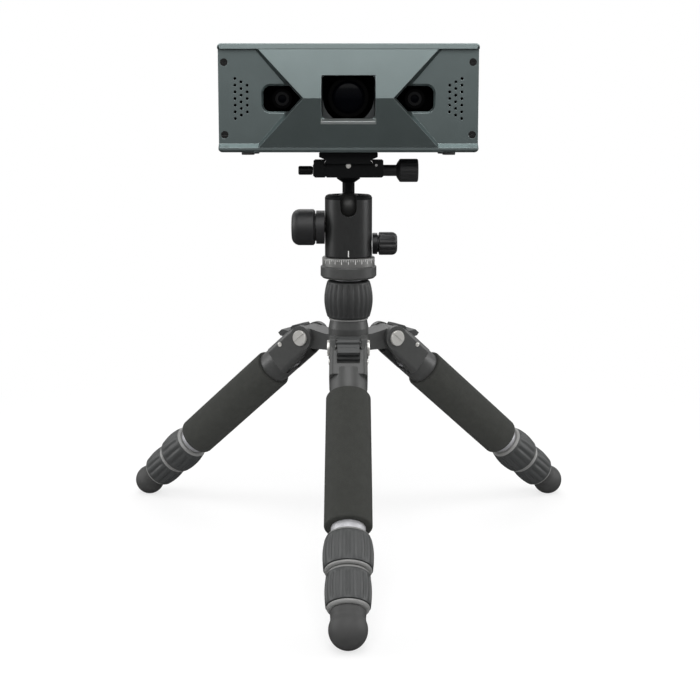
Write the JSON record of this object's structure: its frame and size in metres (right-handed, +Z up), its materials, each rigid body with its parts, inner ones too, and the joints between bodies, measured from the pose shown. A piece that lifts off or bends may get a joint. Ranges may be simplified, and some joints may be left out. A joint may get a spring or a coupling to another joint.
{
  "type": "desktop 3d scanner on tripod",
  "caption": "Box-shaped structured-light scanner head with paired cameras and a central projector, clamped on a ball head over a compact folding tripod with telescoping legs.",
  "frame": {"origin": "on the ground, under the centre of the bounding box", "axes": "+Z up, -Y is where the scanner looks and the front leg points, +X to the right seen from the front"},
  "size_m": [0.3916, 0.3426, 0.3968],
  "materials": {
    "casing_grey": "satin blue-grey moulding",
    "casing_dark": "fine matt texture",
    "optics_black": "matt black",
    "glass": "coated",
    "cast_alloy": "black powder coat",
    "machined_alloy": "black anodised, satin",
    "tube_alloy": "dark anodised",
    "bare_alloy": "bare, machined",
    "steel": "turned and polished",
    "screw_black": "blackened",
    "lock_grey": "satin",
    "knob_black": "satin",
    "ring_grey": "anodised, graduated",
    "foam": "closed-cell foam, matt",
    "rubber": "matt",
    "board_green": "solder mask"
  },
  "bodies": {
    "hub": {"hub": "cast_alloy", "leg_bolts": "steel"},
    "column": {"center_column": "tube_alloy", "base_plate": "cast_alloy", "pan_ring": "ring_grey"},
    "column_lock": {"column_lock": "lock_grey"},
    "head": {"ball_housing": "cast_alloy", "housing_bezel": "machined_alloy"},
    "main_lock_knob": {"main_lock_knob": "knob_black"},
    "pan_lock_knob": {"pan_lock_knob": "knob_black"},
    "ball": {"ball": "steel"},
    "stem": {"ball_stem": "machined_alloy"},
    "clamp": {"clamp_body": "machined_alloy"},
    "clamp_jaw": {"clamp_jaw": "machined_alloy", "clamp_nut": "steel"},
    "clamp_knob": {"clamp_knob": "knob_black"},
    "scanner": {"qr_plate": "machined_alloy", "plate_screw": "steel", "main_casing": "casing_grey", "front_cover": "casing_grey", "rear_cover": "casing_dark", "cover_screws": "screw_black", "scanner_feet": "rubber", "optical_bar": "bare_alloy", "camera_barrels": "optics_black", "camera_lenses": "glass", "projector_barrel": "optics_black", "projector_lens": "glass", "light_engine": "machined_alloy", "control_board": "board_green", "socket_block": "optics_black"},
    "power_button": {"power_button": "knob_black"},
    "fan_rotor": {"fan_rotor": "optics_black"},
    "front_leg": {"front_leg_casting": "cast_alloy", "front_leg_upper_tube": "tube_alloy", "front_leg_grip": "foam"},
    "front_leg_angle_tab": {"front_leg_angle_tab": "lock_grey"},
    "front_leg_upper_lock": {"front_leg_upper_lock": "lock_grey"},
    "front_leg_middle": {"front_leg_mid_tube": "tube_alloy"},
    "front_leg_lower_lock": {"front_leg_lower_lock": "lock_grey"},
    "front_leg_bottom": {"front_leg_lower_tube": "tube_alloy", "front_leg_foot": "rubber"},
    "right_leg": {"right_leg_casting": "cast_alloy", "right_leg_upper_tube": "tube_alloy", "right_leg_grip": "foam"},
    "right_leg_angle_tab": {"right_leg_angle_tab": "lock_grey"},
    "right_leg_upper_lock": {"right_leg_upper_lock": "lock_grey"},
    "right_leg_middle": {"right_leg_mid_tube": "tube_alloy"},
    "right_leg_lower_lock": {"right_leg_lower_lock": "lock_grey"},
    "right_leg_bottom": {"right_leg_lower_tube": "tube_alloy", "right_leg_foot": "rubber"},
    "left_leg": {"left_leg_casting": "cast_alloy", "left_leg_upper_tube": "tube_alloy", "left_leg_grip": "foam"},
    "left_leg_angle_tab": {"left_leg_angle_tab": "lock_grey"},
    "left_leg_upper_lock": {"left_leg_upper_lock": "lock_grey"},
    "left_leg_middle": {"left_leg_mid_tube": "tube_alloy"},
    "left_leg_lower_lock": {"left_leg_lower_lock": "lock_grey"},
    "left_leg_bottom": {"left_leg_lower_tube": "tube_alloy", "left_leg_foot": "rubber"}
  },
  "joints": [
    {"name": "column_slide", "type": "slide", "parent": "hub", "child": "column", "axis": [0, 0, 1], "range_m": [0, 0.045]},
    {"name": "column_lock_turn", "type": "hinge", "parent": "hub", "child": "column_lock", "pos_m": [0, 0.05279, 0.17965], "axis": [0, 0, 1], "range_deg": [0, 90]},
    {"name": "pan", "type": "hinge", "parent": "column", "child": "head", "pos_m": [0, 0.05279, 0.23065], "axis": [0, 0, 1], "continuous": true},
    {"name": "main_lock_turn", "type": "hinge", "parent": "head", "child": "main_lock_knob", "pos_m": [-0.0189, 0.05279, 0.25405], "axis": [-1, 0, 0], "range_deg": [0, 270]},
    {"name": "pan_lock_turn", "type": "hinge", "parent": "head", "child": "pan_lock_knob", "pos_m": [0.0189, 0.05279, 0.24095], "axis": [1, 0, 0], "range_deg": [0, 270]},
    {"name": "ball_roll", "type": "hinge", "parent": "head", "child": "ball", "pos_m": [0, 0.05279, 0.26995], "axis": [0, 1, 0], "range_deg": [-25, 25]},
    {"name": "ball_nod", "type": "hinge", "parent": "ball", "child": "stem", "pos_m": [0, 0.05279, 0.26995], "axis": [1, 0, 0], "range_deg": [-25, 90]},
    {"name": "ball_swivel", "type": "hinge", "parent": "stem", "child": "clamp", "pos_m": [0, 0.05279, 0.29455], "axis": [0, 0, 1], "continuous": true},
    {"name": "clamp_knob_turn", "type": "hinge", "parent": "clamp", "child": "clamp_knob", "pos_m": [0.02715, 0.05279, 0.29945], "axis": [1, 0, 0], "range_deg": [0, 540]},
    {"name": "clamp_jaw_slide", "type": "slide", "parent": "clamp", "child": "clamp_jaw", "axis": [-1, 0, 0], "range_m": [0, 0.003]},
    {"name": "plate_slide", "type": "slide", "parent": "clamp", "child": "scanner", "axis": [0, 1, 0], "range_m": [-0.012, 0.012]},
    {"name": "power_button_press", "type": "slide", "parent": "scanner", "child": "power_button", "axis": [0, -1, 0], "range_m": [0, 0.0014], "stiffness_N_per_m": 800},
    {"name": "fan_spin", "type": "hinge", "parent": "scanner", "child": "fan_rotor", "pos_m": [0.055, 0.08219, 0.3552], "axis": [0, 1, 0], "continuous": true},
    {"name": "front_leg_swing", "type": "hinge", "parent": "hub", "child": "front_leg", "pos_m": [0, 0.01562, 0.16275], "axis": [-1, 0, 0], "range_deg": [-49.19, 31]},
    {"name": "front_leg_angle_tab_slide", "type": "slide", "parent": "front_leg", "child": "front_leg_angle_tab", "axis": [0, -0.7569, -0.6536], "range_m": [0, 0.004], "stiffness_N_per_m": 300},
    {"name": "front_leg_upper_lock_turn", "type": "hinge", "parent": "front_leg", "child": "front_leg_upper_lock", "pos_m": [0, -0.10669, 0.05714], "axis": [0, -0.7569, -0.6536], "range_deg": [0, 90]},
    {"name": "front_leg_middle_slide", "type": "slide", "parent": "front_leg", "child": "front_leg_middle", "axis": [0, -0.7569, -0.6536], "range_m": [0, 0.08]},
    {"name": "front_leg_lower_lock_turn", "type": "hinge", "parent": "front_leg_middle", "child": "front_leg_lower_lock", "pos_m": [0, -0.12894, 0.03792], "axis": [0, -0.7569, -0.6536], "range_deg": [0, 90]},
    {"name": "front_leg_bottom_slide", "type": "slide", "parent": "front_leg_middle", "child": "front_leg_bottom", "axis": [0, -0.7569, -0.6536], "range_m": [0, 0.08]},
    {"name": "right_leg_swing", "type": "hinge", "parent": "hub", "child": "right_leg", "pos_m": [0.03219, 0.07138, 0.16275], "axis": [0.5, -0.866, 0], "range_deg": [-49.19, 31]},
    {"name": "right_leg_angle_tab_slide", "type": "slide", "parent": "right_leg", "child": "right_leg_angle_tab", "axis": [0.6555, 0.3784, -0.6536], "range_m": [0, 0.004], "stiffness_N_per_m": 300},
    {"name": "right_leg_upper_lock_turn", "type": "hinge", "parent": "right_leg", "child": "right_leg_upper_lock", "pos_m": [0.13812, 0.13254, 0.05714], "axis": [0.6555, 0.3784, -0.6536], "range_deg": [0, 90]},
    {"name": "right_leg_middle_slide", "type": "slide", "parent": "right_leg", "child": "right_leg_middle", "axis": [0.6555, 0.3784, -0.6536], "range_m": [0, 0.08]},
    {"name": "right_leg_lower_lock_turn", "type": "hinge", "parent": "right_leg_middle", "child": "right_leg_lower_lock", "pos_m": [0.15739, 0.14366, 0.03792], "axis": [0.6555, 0.3784, -0.6536], "range_deg": [0, 90]},
    {"name": "right_leg_bottom_slide", "type": "slide", "parent": "right_leg_middle", "child": "right_leg_bottom", "axis": [0.6555, 0.3784, -0.6536], "range_m": [0, 0.08]},
    {"name": "left_leg_swing", "type": "hinge", "parent": "hub", "child": "left_leg", "pos_m": [-0.03219, 0.07138, 0.16275], "axis": [0.5, 0.866, 0], "range_deg": [-49.19, 31]},
    {"name": "left_leg_angle_tab_slide", "type": "slide", "parent": "left_leg", "child": "left_leg_angle_tab", "axis": [-0.6555, 0.3784, -0.6536], "range_m": [0, 0.004], "stiffness_N_per_m": 300},
    {"name": "left_leg_upper_lock_turn", "type": "hinge", "parent": "left_leg", "child": "left_leg_upper_lock", "pos_m": [-0.13812, 0.13254, 0.05714], "axis": [-0.6555, 0.3784, -0.6536], "range_deg": [0, 90]},
    {"name": "left_leg_middle_slide", "type": "slide", "parent": "left_leg", "child": "left_leg_middle", "axis": [-0.6555, 0.3784, -0.6536], "range_m": [0, 0.08]},
    {"name": "left_leg_lower_lock_turn", "type": "hinge", "parent": "left_leg_middle", "child": "left_leg_lower_lock", "pos_m": [-0.15739, 0.14366, 0.03792], "axis": [-0.6555, 0.3784, -0.6536], "range_deg": [0, 90]},
    {"name": "left_leg_bottom_slide", "type": "slide", "parent": "left_leg_middle", "child": "left_leg_bottom", "axis": [-0.6555, 0.3784, -0.6536], "range_m": [0, 0.08]}
  ],
  "couplings": [
    {"joint": "clamp_jaw_slide", "follows": "clamp_knob_turn", "m_per_rad": 0.00031831}
  ]
}
